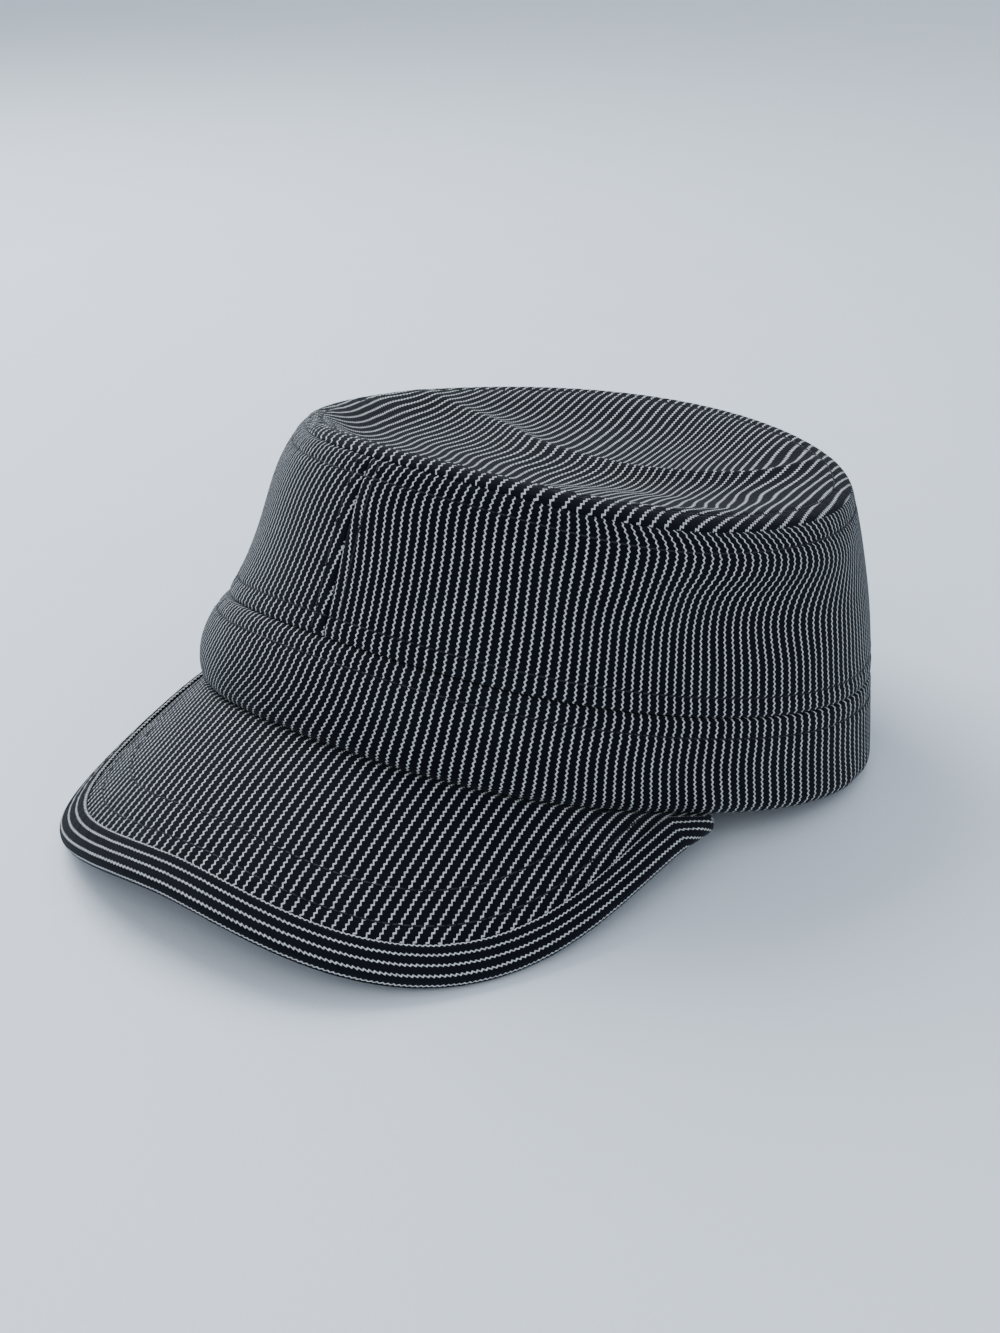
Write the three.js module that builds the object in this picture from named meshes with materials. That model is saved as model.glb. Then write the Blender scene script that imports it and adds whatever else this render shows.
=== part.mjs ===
// A striped cadet cap of woven cloth, lying on its band and the corners of its peak.
// Millimetres, +Z up. -Y is the wearer's front and +X the wearer's left.
import * as THREE from 'three';

// Thickness of each layer, and the gap that the sewn pieces keep
const crownCloth = 1.6;
const bandCloth = 2.4;
const peakBoard = 3.0;
const bindingCloth = 0.9;
const seamGap = 0.3;

// Plan of the cap: a row for each twelfth of the way round, from the centre front
// towards the wearer's left. Radius at the band's lower edge and at the crown's rim; how
// far band and wall belly out; the wall's shoulder below the rim; height of the tip's lip.
const plan = [
  { at: 0, band: 83.5, rim: 67.5, bandBelly: 2.6, wallBelly: 0.3, shoulder: 1, lip: 3.5 },
  { at: 30, band: 83.5, rim: 66.5, bandBelly: 2.6, wallBelly: 0.6, shoulder: 0.6, lip: 3.5 },
  { at: 60, band: 79.5, rim: 71, bandBelly: 2.4, wallBelly: 1, shoulder: 0.4, lip: 3.5 },
  { at: 90, band: 88.5, rim: 76.5, bandBelly: 1.4, wallBelly: 1.6, shoulder: 0, lip: 2.4 },
  { at: 120, band: 106.5, rim: 88, bandBelly: 0.3, wallBelly: 2, shoulder: 0, lip: 2 },
  { at: 150, band: 107, rim: 95, bandBelly: 0.3, wallBelly: 1.5, shoulder: 0, lip: 2 },
  { at: 180, band: 105.5, rim: 97.5, bandBelly: 1, wallBelly: 1, shoulder: 0.3, lip: 1.8 },
  { at: 210, band: 102, rim: 96, bandBelly: 1.6, wallBelly: 0.8, shoulder: 0.6, lip: 1.8 },
  { at: 240, band: 97, rim: 90, bandBelly: 2.4, wallBelly: 0.2, shoulder: 1.4, lip: 2 },
  { at: 270, band: 90, rim: 77.5, bandBelly: 3.4, wallBelly: -0.5, shoulder: 2.4, lip: 2.6 },
  { at: 300, band: 85, rim: 64.5, bandBelly: 4.4, wallBelly: -0.8, shoulder: 3.2, lip: 3.2 },
  { at: 330, band: 84, rim: 64, bandBelly: 3.4, wallBelly: -0.4, shoulder: 2.4, lip: 3.5 },
];

// Heights above the band's plane: middle height, and how it rises at front and back,
// at the front alone, and on the wearer's left
const edge = {
  hem: { mid: 0, ends: 5.2, front: 1.1, left: 0.3 },
  bandSeam: { mid: 25.8, ends: 5.5, front: 1.1, left: 0.3 },
  rim: { mid: 74.8, ends: 4.4, front: -1.3, left: -1.4 },
};
const bandSeamShare = 0.15; // how far the band's seam lies on the way from hem to rim
const bandSeamPinch = 1.4; // the stitching pulls the seam in
const hemRoll = { height: 0.14, depth: 1.6 }; // the hem rolls under

// The dished crown top, with a soft ridge that crosses it from side to side
const tip = {
  middle: 75,
  lipAt: 0.9,
  lipFade: 0.12,
  dishDepth: 10,
  dishSlack: 0.5, // the hollow in front of the ridge is deeper than the one behind it
  dishSlackWidth: 15,
  dishNear: 20, // towards this side the dish falls evenly to the middle, not at the rim
  dishNearPower: 1.1,
  sideLift: 0.9, // the wearer's left side is held up, and dishes less
  sideLiftAt: 80,
  sideLiftWidth: 38,
  ridgeHeight: 5.5,
  ridgeWidth: 9,
  ridgeSoft: 1.5,
  ridgeAt: 27,
  ridgeBendFrom: 10,
  ridgeBend: 0.022,
  ridgeStep: 7, // towards the wearer's right the crest lies further back
  ridgeStepX: -28,
  ridgeStepWidth: 14,
};
const tipRings = [1, 0.98, 0.945, 0.9, 0.85, 0.78, 0.69, 0.58, 0.46, 0.33, 0.2, 0.09];

// The peak: a curved board that arches across and slopes down to the front
const peak = {
  slope: 29.8,
  archRadius: 82,
  originY: -46.5,
  originZ: 29.6,
  droop: 0.0007, // the slope steepens a little towards the edge
  halfWidth: 82.4,
  length: 95.2,
  squareness: 2.45,
  widestY: -32.8,
  tuckLength: 14,
  tailLength: 44, // behind the widest line the wearer's left side runs straight back,
  tailTuck: 1.5, // and at its very end it tucks in under the hem
  fromAngle: -21, // where the outline comes out from under the band, wearer's left
  toAngle: 187, // and where it goes back under, wearer's right
  inset: 2.2, // how far the peak reaches in under the hem
  seatFade: 24, // from the hem, the board eases from the hem's height to its own arch
};

// The strip folded round the peak's edge, with its width on each face
const binding = { width: 6.8, clearOfHem: 1.0, fromAngle: -16.6, toAngle: 182 };

// At rest the front of the cap is lifted
const restTilt = 10.7;
const restLift = 14.6;
const restShift = { x: -1.4, y: 10.4 };

const around = 72;
const wallRows = 7;
const bandRows = 7;
const peakStations = 42;
const peakRows = 8;
const rad = THREE.MathUtils.degToRad;

// A smooth wave through the rows of the plan, in a whole number of harmonics
function planWave(column) {
  const count = plan.length;
  const terms = [];
  for (let k = 0; k <= count / 2; k++) {
    const edgeTerm = k === 0 || k === count / 2;
    const weight = (edgeTerm ? 1 : 2) / count;
    let cosine = 0;
    let sine = 0;
    for (const row of plan) {
      cosine += weight * row[column] * Math.cos(k * rad(row.at));
      sine += weight * row[column] * Math.sin(k * rad(row.at));
    }
    terms.push({ k, cosine, sine });
  }
  return (angle) => terms.reduce(
    (sum, term) => sum + term.cosine * Math.cos(term.k * angle) + term.sine * Math.sin(term.k * angle), 0);
}
const bandRadius = planWave('band');
const rimRadius = planWave('rim');
const bandBelly = planWave('bandBelly');
const wallBelly = planWave('wallBelly');
const wallShoulder = planWave('shoulder');
const lipRise = planWave('lip');

function edgeHeight(row, angle) {
  return row.mid + row.ends * Math.cos(2 * angle) + row.front * Math.cos(angle) + row.left * Math.sin(angle);
}

function seamRadius(angle) {
  return bandRadius(angle) + bandSeamShare * (rimRadius(angle) - bandRadius(angle)) - bandSeamPinch;
}

const mix = (a, b, t) => a + (b - a) * t;
const swell = (t) => 4 * t * (1 - t);
const highSwell = (t) => 9.5 * t ** 3 * (1 - t);

function ringPoint(angle, radius, z) {
  return new THREE.Vector3(radius * Math.sin(angle), -radius * Math.cos(angle), z);
}

// Outer face of the band, t from the hem at 0 to the band's seam at 1
function bandPoint(angle, t, depth) {
  const roll = Math.max(0, 1 - t / hemRoll.height);
  const radius = mix(bandRadius(angle), seamRadius(angle), t) + bandBelly(angle) * swell(t);
  const z = mix(edgeHeight(edge.hem, angle), edgeHeight(edge.bandSeam, angle), t);
  return ringPoint(angle, radius - (depth > 0 ? depth : hemRoll.depth * roll * roll), z);
}

// Outer face of the crown wall, t from the band's seam at 0 to the rim at 1
function wallPoint(angle, t, depth) {
  const low = edgeHeight(edge.bandSeam, angle) + seamGap;
  const high = edgeHeight(edge.rim, angle) - seamGap / 2;
  const belly = wallBelly(angle) * swell(t) + wallShoulder(angle) * highSwell(t);
  const radius = mix(seamRadius(angle), rimRadius(angle), t) + belly;
  return ringPoint(angle, radius - depth, mix(low, high, t));
}

// Height of the crown top: the rim, a rounded lip, the dish and its crossing ridge
function tipHeight(x, y, share, angle) {
  const base = tip.middle + (edgeHeight(edge.rim, angle) - tip.middle) * share * share;
  const step = tip.ridgeStep * (1 - Math.tanh((x - tip.ridgeStepX) / tip.ridgeStepWidth));
  const ridgeY = tip.ridgeAt + tip.ridgeBend * Math.max(0, x - tip.ridgeBendFrom) ** 2 + step;
  const off = y - ridgeY;
  const fromCrest = Math.hypot(off, tip.ridgeSoft) - tip.ridgeSoft;
  const ridge = tip.ridgeHeight * Math.exp(-fromCrest / tip.ridgeWidth);
  const aside = (angle - rad(tip.sideLiftAt)) / rad(tip.sideLiftWidth);
  const held = tip.sideLift * share * Math.exp(-aside * aside);
  const hollow = tip.dishDepth - tip.dishSlack * Math.tanh(off / tip.dishSlackWidth);
  const dish = hollow * (1 - held) - ridge;
  const near = 0.5 + 0.5 * Math.cos(angle - rad(tip.dishNear));
  return base - (1 - mix(share ** 3, share ** tip.dishNearPower, near)) * dish;
}

function tipLip(angle, share) {
  const width = share > tip.lipAt ? 1 - tip.lipAt : tip.lipFade;
  const off = (share - tip.lipAt) / width;
  return lipRise(angle) * (share > tip.lipAt ? 1 - off * off : Math.exp(-off * off));
}

function tipPoint(angle, share, inner) {
  const radius = (rimRadius(angle) - (inner ? crownCloth : 0)) * share;
  const spot = ringPoint(angle, radius, 0);
  const lip = tipLip(angle, share);
  const thinLip = lip * (1 - crownCloth / lipRise(angle));
  const innerLip = share > tip.lipAt ? thinLip : lip - crownCloth;
  spot.z = tipHeight(spot.x, spot.y, share, angle) + seamGap / 2 + (inner ? innerLip : lip);
  return spot;
}

// Height of the peak's arched board over a place in plan
function archHeight(x, y) {
  const forward = peak.originY - y;
  const fall = forward * Math.tan(rad(peak.slope)) + peak.droop * forward * forward;
  return peak.originZ - fall - x * x / (2 * peak.archRadius);
}

// Edge of the board in plan: a full oval in front. Behind its widest line it tucks in on
// the wearer's right and runs straight on the left
function peakOutline(angle) {
  const power = 2 / peak.squareness;
  const along = Math.abs(Math.cos(angle)) ** power * Math.sign(Math.cos(angle));
  const out = Math.abs(Math.sin(angle)) ** power;
  if (Math.sin(angle) < 0 && along > 0) {
    const way = out / Math.abs(Math.sin(rad(peak.fromAngle))) ** power;
    const side = peak.halfWidth - peak.tailTuck * way ** 5;
    return new THREE.Vector2(side, peak.widestY + peak.tailLength * out);
  }
  const reach = Math.sin(angle) > 0 ? -peak.length : peak.tuckLength;
  return new THREE.Vector2(peak.halfWidth * along, peak.widestY + reach * out);
}

// Top face of the board: s runs across it from the wearer's left to right, t from hem to edge
function peakTop(s, t) {
  const rim = peakOutline(rad(mix(peak.fromAngle, peak.toAngle, s)));
  const angle = Math.atan2(rim.x, -rim.y);
  const root = ringPoint(angle, bandRadius(angle) - hemRoll.depth - peak.inset, 0);
  const x = mix(root.x, rim.x, t);
  const y = mix(root.y, rim.y, t);
  const hem = ringPoint(angle, bandRadius(angle), edgeHeight(edge.hem, angle) - seamGap);
  const beyond = Math.hypot(x, y) - bandRadius(angle);
  if (beyond <= 0) return new THREE.Vector3(x, y, hem.z);
  const fade = Math.max(0, 1 - beyond / peak.seatFade) ** 2;
  return new THREE.Vector3(x, y, archHeight(x, y) + fade * (hem.z - archHeight(hem.x, hem.y)));
}

// Directions at the board's edge: out of the edge, and up out of the top face
function edgeFrame(s, t) {
  const step = 0.001;
  const along = peakTop(s + step, t).sub(peakTop(s - step, t));
  const out = peakTop(s, t).sub(peakTop(s, t - step));
  const up = new THREE.Vector3().crossVectors(out, along).normalize();
  out.addScaledVector(along, -out.dot(along) / along.lengthSq()).normalize();
  return { out, up: up.z < 0 ? up.negate() : up };
}

const halfBoard = peakBoard / 2;

// Top (side 1) and underside (side -1) of the board, rounding over at its outer edge
function boardPoint(s, row, side) {
  const flatRows = peakRows - 2;
  if (row <= flatRows) {
    const spot = peakTop(s, row / flatRows);
    const frame = edgeFrame(s, Math.max(row / flatRows, 0.01));
    return spot.addScaledVector(frame.up, side > 0 ? 0 : -peakBoard);
  }
  const turn = rad(row === peakRows ? 22 : 55) * side;
  const frame = edgeFrame(s, 1);
  return peakTop(s, 1)
    .addScaledVector(frame.up, halfBoard * (Math.sin(turn) - 1))
    .addScaledVector(frame.out, halfBoard * Math.cos(turn));
}

// The binding's section, folded round the edge: v from 0 on the top to 1 on the underside
const arcShare = 0.36;
function bindingPoint(s, v, lift) {
  const frame = edgeFrame(s, 1);
  const spot = peakTop(s, 1).addScaledVector(frame.up, -halfBoard);
  const radius = halfBoard + seamGap + lift;
  const start = (1 - arcShare) / 2;
  if (v < start || v > 1 - start) {
    const side = v < start ? 1 : -1;
    const t = 1 - bindingReach(s) * (1 - Math.min(v, 1 - v) / start);
    return peakTop(s, t).addScaledVector(edgeFrame(s, t).up, side * radius - halfBoard);
  }
  const turn = Math.PI * (0.5 - (v - start) / arcShare);
  return spot
    .addScaledVector(frame.up, radius * Math.sin(turn))
    .addScaledVector(frame.out, radius * Math.cos(turn));
}

// How far back from the edge the binding reaches, as a share of the board's depth there
function bindingReach(s) {
  const rim = peakTop(s, 1);
  const depth = rim.distanceTo(peakTop(s, 0));
  const clear = Math.hypot(rim.x, rim.y) - bandRadius(Math.atan2(rim.x, -rim.y)) - binding.clearOfHem;
  return Math.min(binding.width, clear) / depth;
}

// Lays a point of the standing cap down as it rests, with cloth flattened on the surface
function lay(spot) {
  const turned = spot.clone().applyAxisAngle(new THREE.Vector3(1, 0, 0), -rad(restTilt));
  turned.x += restShift.x;
  turned.y += restShift.y;
  turned.z = Math.max(0, turned.z + restLift);
  return turned;
}

// A closed sheet between an outer and an inner grid of points. A closed sheet joins its
// last column to its first, and a capped one ends in a single point at its last row.
function sheet(outerAt, innerAt, columns, rows, { closed = false, capped = false } = {}) {
  const across = closed ? columns : columns + 1;
  const positions = [];
  const index = [];
  const add = (spot) => {
    const laid = lay(spot);
    positions.push(laid.x, laid.y, laid.z);
    return positions.length / 3 - 1;
  };
  const grid = (at) => Array.from({ length: across }, (_, i) => Array.from(
    { length: rows + 1 }, (_unused, j) => add(at(i, j))));
  const faces = [grid(outerAt), grid(innerAt)];
  const quad = (a, b, c, d) => index.push(a, b, c, a, c, d);
  const next = (i) => (i + 1) % across;
  for (let i = 0; i < columns; i++) {
    for (let j = 0; j < rows; j++) {
      const [outer, inner] = faces;
      quad(outer[i][j], outer[next(i)][j], outer[next(i)][j + 1], outer[i][j + 1]);
      quad(inner[i][j], inner[i][j + 1], inner[next(i)][j + 1], inner[next(i)][j]);
    }
    const [outer, inner] = faces;
    quad(inner[i][0], inner[next(i)][0], outer[next(i)][0], outer[i][0]);
    if (!capped) {
      quad(outer[i][rows], outer[next(i)][rows], inner[next(i)][rows], inner[i][rows]);
    }
  }
  if (capped) {
    for (const [side, at] of [outerAt, innerAt].entries()) {
      const pole = add(at(0, rows + 1));
      for (let i = 0; i < columns; i++) {
        const pair = [faces[side][i][rows], faces[side][next(i)][rows]];
        index.push(...(side === 0 ? pair : pair.reverse()), pole);
      }
    }
  }
  if (!closed) {
    const [outer, inner] = faces;
    for (let j = 0; j < rows; j++) {
      quad(outer[0][j], outer[0][j + 1], inner[0][j + 1], inner[0][j]);
      quad(inner[columns][j], inner[columns][j + 1], outer[columns][j + 1], outer[columns][j]);
    }
  }
  const geometry = new THREE.BufferGeometry();
  geometry.setAttribute('position', new THREE.Float32BufferAttribute(positions, 3));
  geometry.setIndex(index);
  geometry.computeVertexNormals();
  return geometry;
}

function cloth(name, geometry, color) {
  const material = new THREE.MeshStandardMaterial({ color, roughness: 0.9, metalness: 0 });
  const mesh = new THREE.Mesh(geometry, material);
  mesh.name = name;
  return mesh;
}

// One half of the crown wall, between the centre front and centre back seams
function wallHalf(name, fromAngle, toAngle) {
  const columns = around / 2;
  const seamTurn = seamGap / 2 / rimRadius(fromAngle);
  const at = (i) => mix(fromAngle + seamTurn, toAngle - seamTurn, i / columns);
  return cloth(name, sheet(
    (i, j) => wallPoint(at(i), j / wallRows, 0),
    (i, j) => wallPoint(at(i), j / wallRows, crownCloth),
    columns, wallRows), 0x2b2d33);
}

function headBand() {
  const turn = (i) => 2 * Math.PI * i / around;
  const rows = [0, 0.05, 0.14, 0.3, 0.5, 0.7, 0.86, 1];
  return cloth('head_band', sheet(
    (i, j) => bandPoint(turn(i), rows[j], 0),
    (i, j) => bandPoint(turn(i), rows[j], hemRoll.depth + bandCloth),
    around, bandRows, { closed: true }), 0x282a30);
}

function crownTip() {
  const turn = (i) => 2 * Math.PI * i / around;
  const share = (j) => tipRings[j] ?? 0;
  return cloth('crown_tip', sheet(
    (i, j) => tipPoint(turn(i), share(j), false),
    (i, j) => tipPoint(turn(i), share(j), true),
    around, tipRings.length - 1, { closed: true, capped: true }), 0x30323a);
}

function peakBody() {
  const across = (i) => i / peakStations;
  return cloth('peak', sheet(
    (i, j) => boardPoint(across(i), j, 1),
    (i, j) => boardPoint(across(i), j, -1),
    peakStations, peakRows), 0x25272d);
}

function peakBinding() {
  const rows = 12;
  const share = (angle) => (angle - peak.fromAngle) / (peak.toAngle - peak.fromAngle);
  const across = (i) => mix(share(binding.fromAngle), share(binding.toAngle), i / peakStations);
  return cloth('peak_binding', sheet(
    (i, j) => bindingPoint(across(i), j / rows, bindingCloth),
    (i, j) => bindingPoint(across(i), j / rows, 0),
    peakStations, rows), 0x1c1e24);
}

const cap = new THREE.Group();
cap.name = 'striped_cap';
cap.add(
  headBand(),
  wallHalf('wall_left', 0, Math.PI),
  wallHalf('wall_right', Math.PI, 2 * Math.PI),
  crownTip(),
  peakBody(),
  peakBinding(),
);

export default cap;
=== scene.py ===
# %% [markdown]
# # A striped cloth cap, lying on a pale surface
#
# The cap is sewn from six pieces: a wide band, two wall panels that meet in a chevron
# at the front, a dished crown top, a stiff peak and the strip that binds its edge.
# Each piece is a surface worked out with numpy from a few sizes, given a thickness,
# and dressed in one woven cloth with thin zigzag stripes.
#
# The first cell loads the solids that the pieces have to follow.

import bpy
import numpy as np
from mathutils import Matrix, Vector


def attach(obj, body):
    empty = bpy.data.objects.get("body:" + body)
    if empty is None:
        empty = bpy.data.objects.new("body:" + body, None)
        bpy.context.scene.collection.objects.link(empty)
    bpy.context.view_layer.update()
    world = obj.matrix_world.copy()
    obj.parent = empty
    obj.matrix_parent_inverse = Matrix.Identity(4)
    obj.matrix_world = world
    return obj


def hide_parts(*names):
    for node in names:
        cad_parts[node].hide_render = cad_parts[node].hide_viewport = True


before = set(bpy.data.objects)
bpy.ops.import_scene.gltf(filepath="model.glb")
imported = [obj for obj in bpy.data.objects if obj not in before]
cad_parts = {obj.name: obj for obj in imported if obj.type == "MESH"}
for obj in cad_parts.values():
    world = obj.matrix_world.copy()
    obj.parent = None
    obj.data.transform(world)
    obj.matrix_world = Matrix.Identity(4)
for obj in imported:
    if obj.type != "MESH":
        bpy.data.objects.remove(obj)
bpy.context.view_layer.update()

print("nodes:", sorted(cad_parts))

# %% [markdown]
# ## The sizes of the cap
#
# All sizes here are millimetres, +Z up, with the wearer's front at -Y and the wearer's
# left at +X. A soft band isn't a true oval: its plan is a table with a row for each
# twelfth of the way round, and the heights of its three edges are short waves.

# %% Sizes
MM = 0.001
PLAN_ANGLES = np.radians(np.arange(0, 360, 30))
PLAN_BAND = np.array([83.5, 83.5, 79.5, 88.5, 106.5, 107, 105.5, 102, 97, 90, 85, 84])
PLAN_RIM = np.array([67.5, 66.5, 71, 76.5, 88, 95, 97.5, 96, 90, 77.5, 64.5, 64])
PLAN_BAND_BELLY = np.array([2.6, 2.6, 2.4, 1.4, 0.3, 0.3, 1, 1.6, 2.4, 3.4, 4.4, 3.4])
PLAN_WALL_BELLY = np.array([0.3, 0.6, 1, 1.6, 2, 1.5, 1, 0.8, 0.2, -0.5, -0.8, -0.4])
PLAN_SHOULDER = np.array([1, 0.6, 0.4, 0, 0, 0, 0.3, 0.6, 1.4, 2.4, 3.2, 2.4])
PLAN_LIP = np.array([3.5, 3.5, 3.5, 2.4, 2, 2, 1.8, 1.8, 2, 2.6, 3.2, 3.5])

# middle height, rise at front and back, rise at the front, rise at the wearer's left
HEM_EDGE = (0, 5.2, 1.1, 0.3)
BAND_SEAM = (25.8, 5.5, 1.1, 0.3)
RIM_SEAM = (74.8, 4.4, -1.3, -1.4)

CROWN_CLOTH, BAND_CLOTH, PEAK_BOARD, BINDING_CLOTH = 1.6, 2.4, 3.0, 0.9
SEAM_GAP = 0.3
SEAM_SHARE, SEAM_PINCH = 0.15, 1.4
HEM_ROLL_HEIGHT, HEM_ROLL_DEPTH = 0.14, 1.6
REST_TILT, REST_LIFT, REST_SHIFT = np.radians(10.7), 14.6, (-1.4, 10.4)
REST_EASE = 0.15  # how softly the cloth meets the surface

# %% Waves round the head


def wave_through(values):
    """A smooth wave through equally spaced values: the sum of whole-number cosines
    and sines, each weighted by its share of the values."""
    count = len(values)
    order = np.arange(count // 2 + 1)
    weight = np.where((order == 0) | (order == count // 2), 1, 2) / count
    turns = np.outer(order, PLAN_ANGLES)
    cosines = weight * (np.cos(turns) @ values)
    sines = weight * (np.sin(turns) @ values)
    return lambda angle: np.einsum(
        "k,k...->...", cosines, np.cos(np.multiply.outer(order, angle))
    ) + np.einsum("k,k...->...", sines, np.sin(np.multiply.outer(order, angle)))


band_radius = wave_through(PLAN_BAND)
rim_radius = wave_through(PLAN_RIM)
band_belly = wave_through(PLAN_BAND_BELLY)
wall_belly = wave_through(PLAN_WALL_BELLY)
wall_shoulder = wave_through(PLAN_SHOULDER)
lip_rise = wave_through(PLAN_LIP)

# %% Edges, and small formulas that every piece uses


def edge_height(edge, angle):
    """Height of an edge: its middle, plus waves of cos 2a, cos a and sin a."""
    middle, ends, front, left = edge
    return middle + ends * np.cos(2 * angle) + front * np.cos(angle) + left * np.sin(angle)


def seam_radius(angle):
    """The band's seam lies a share of the way from hem to rim, pulled in by its thread."""
    hem = band_radius(angle)
    return hem + SEAM_SHARE * (rim_radius(angle) - hem) - SEAM_PINCH


def mix(a, b, t):
    """The value a share t of the way from a to b."""
    return a + (b - a) * t


def swell(t):
    """A hump of 1 in the middle and 0 at both ends: 4 t (1 - t)."""
    return 4 * t * (1 - t)


def high_swell(t):
    """A hump of 1 at three quarters of the way up: 9.5 t cubed (1 - t)."""
    return 9.5 * t**3 * (1 - t)


def bump(x, at, width):
    """A bell curve of height 1 about a place: exp of minus the square of the distance."""
    return np.exp(-(((x - at) / width) ** 2))


def ring_point(angle, radius, z):
    """Cylinder to box coordinates: x = r sin a, y = -r cos a, stacked on the last axis."""
    return np.stack(
        np.broadcast_arrays(radius * np.sin(angle), -radius * np.cos(angle), z), axis=-1
    )


print("hem, mean radius:", round(float(np.mean(PLAN_BAND)), 1), "mm")

# %% [markdown]
# ## From a grid of points to a sewn piece
#
# Every piece is a pair of grids, an outer and an inner face, closed along their edges.
# One helper lays the standing cap down as it rests, tilted back with the cloth pressed
# flat where it would sink into the surface. A second joins the two grids into a mesh
# with its own UV map, in which a whole step across is one stripe and a step along is
# one millimetre of cloth. The stripes then follow the cloth, whatever its folds.

# %% Grid helpers


def lay(points):
    """Turns points about X by the rest tilt, moves them, and eases any height below
    the surface up to it: half of z plus the root of z squared and a small square."""
    c, s = np.cos(REST_TILT), np.sin(REST_TILT)
    x, y, z = points[..., 0], points[..., 1], points[..., 2]
    turned_y = y * c + z * s + REST_SHIFT[1]
    turned_z = z * c - y * s + REST_LIFT
    eased_z = 0.5 * (turned_z + np.sqrt(turned_z**2 + REST_EASE**2))
    return np.stack([x + REST_SHIFT[0], turned_y, eased_z], axis=-1)


def grid_normals(points, wrap, outward):
    """Unit normals of a grid: the cross product of its two central differences, turned
    so that on the whole they point the way that outward does."""
    if wrap:
        across = np.roll(points, -1, 0) - np.roll(points, 1, 0)
    else:
        across = np.gradient(points, axis=0)
    along = np.gradient(points, axis=1)
    normals = np.cross(across, along)
    normals /= np.linalg.norm(normals, axis=-1, keepdims=True) + 1e-12
    if np.sum(normals * outward) < 0:
        normals = -normals
    return normals


def arc_along(points, axis):
    """Running length along one axis of a grid, from 0 at its first row."""
    steps = np.linalg.norm(np.diff(points, axis=axis), axis=-1)
    pad = [(1, 0) if a == axis else (0, 0) for a in range(2)]
    return np.pad(np.cumsum(steps, axis=axis), pad)


# %% [markdown]
# ## Sewing two grids into one piece
#
# A grid of ids names the four corners of each cell. The outer face, the inner face and
# a strip along each open edge are all such grids, so one short function makes all their
# faces. Corners carry the cloth's own coordinates, which are numbered by keys: a wrapped
# piece shares its points where it closes, but its pattern has two sides there.

# %% Sewn piece


def quads_of(ids, flip):
    """Four corners of each cell of a grid of ids, turned over if asked."""
    a, b, c, d = ids[:-1, :-1], ids[1:, :-1], ids[1:, 1:], ids[:-1, 1:]
    corners = np.stack([a, d, c, b] if flip else [a, b, c, d], axis=-1)
    return corners.reshape(-1, 4)


def pole_fan(line, middle, flip):
    """Triangles from each step of a closed line to its middle, turned over if asked."""
    first, second = (line[1:], line[:-1]) if flip else (line[:-1], line[1:])
    return np.stack([first, second, np.full_like(first, middle)], axis=1)


def sewn_piece(name, outer, inner, cloth, rub, wrap=False, pole=False):
    """A closed body from two grids of points. cloth holds stripe number and length
    along the stripe for each grid point, and rub how worn the cloth is there.
    A wrapped piece joins its last column to its first; a pole closes the last row."""
    columns, rows = cloth.shape[:2]
    size = outer.shape[0] * outer.shape[1]
    ids = np.arange(size).reshape(outer.shape[:2])
    ids = np.vstack([ids, ids[:1]]) if wrap else ids
    keys = np.arange(columns * rows).reshape(columns, rows)
    faces = [(quads_of(ids, False), quads_of(keys, False))]
    faces.append((quads_of(ids, True) + size, quads_of(keys, True)))

    def edge_strip(line, key_line, flip):
        """Faces that join one edge of the outer grid to the same edge of the inner."""
        pair = np.stack([line, line + size], axis=1)
        key_pair = np.stack([key_line, key_line], axis=1)
        faces.append((quads_of(pair, flip), quads_of(key_pair, flip)))

    edge_strip(ids[:, 0], keys[:, 0], True)
    if not pole:
        edge_strip(ids[:, -1], keys[:, -1], False)
    if not wrap:
        edge_strip(ids[0], keys[0], False)
        edge_strip(ids[-1], keys[-1], True)
    points = np.concatenate([outer.reshape(-1, 3), inner.reshape(-1, 3)])
    cloth_flat, rub_flat = cloth.reshape(-1, 2), rub.reshape(-1)
    corner_ids = np.concatenate([ids_of for ids_of, _ in faces]).reshape(-1)
    corner_keys = np.concatenate([keys_of for _, keys_of in faces]).reshape(-1)
    starts = np.arange(0, len(corner_ids), 4)
    if pole:
        middles = np.array([outer[:, -1].mean(0), inner[:, -1].mean(0)])
        points = np.concatenate([points, middles])
        cloth_flat = np.vstack([cloth_flat, cloth[:-1, -1].mean(0)])
        rub_flat = np.append(rub_flat, rub[:, -1].mean())
        for side in (0, 1):
            fan = pole_fan(ids[:, -1] + side * size, 2 * size + side, side == 1)
            key_fan = pole_fan(keys[:, -1], len(cloth_flat) - 1, side == 1)
            starts = np.append(starts, len(corner_ids) + np.arange(0, fan.size, 3))
            corner_ids = np.append(corner_ids, fan)
            corner_keys = np.append(corner_keys, key_fan)
    return put_in_mesh(
        name, points, corner_ids, starts, cloth_flat[corner_keys], rub_flat[corner_keys]
    )


# %% Mesh from arrays


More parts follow.
